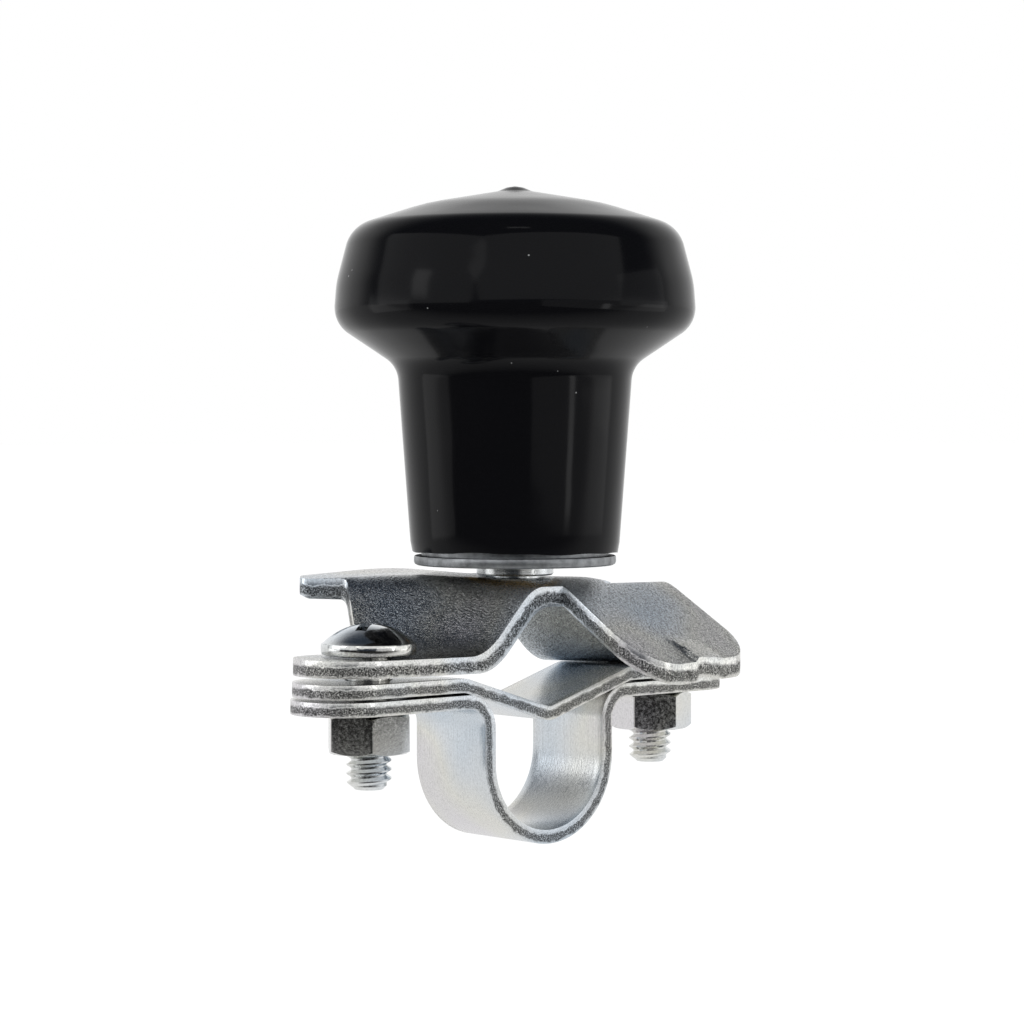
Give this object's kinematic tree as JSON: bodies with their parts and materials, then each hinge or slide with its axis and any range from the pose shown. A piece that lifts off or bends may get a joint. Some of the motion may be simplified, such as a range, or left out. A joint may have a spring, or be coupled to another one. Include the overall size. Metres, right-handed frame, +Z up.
{
  "type": "steering wheel spinner knob",
  "caption": "Round dipped knob that turns on a short spindle, carried by a folded clamp that grips a steering wheel rim between a V plate and a U strap.",
  "frame": {"origin": "axis of the wheel rim at the middle of the U strap's width", "axes": "+Z up along the knob's turning axis, +Y along the wheel rim, +X from the left screw to the right screw"},
  "size_m": [0.0788, 0.052, 0.0945],
  "materials": {
    "vinyl": "glossy dipped vinyl",
    "core_metal": "dull grey cast",
    "zinc": "bright zinc plate",
    "bronze": "plain bearing bronze",
    "spring_steel": "oiled black"
  },
  "bodies": {
    "clamp": {"u_strap": "zinc", "v_plate": "zinc", "top_plate": "zinc", "left_screw": "zinc", "right_screw": "zinc", "left_nut": "zinc", "right_nut": "zinc", "spindle": "zinc", "retaining_ring": "spring_steel"},
    "knob": {"knob_cover": "vinyl", "knob_core": "core_metal", "spindle_bush": "bronze"}
  },
  "joints": [
    {"name": "knob_spin", "type": "hinge", "parent": "clamp", "child": "knob", "pos_m": [0, 0, 0.045], "axis": [0, 0, 1], "continuous": true}
  ]
}
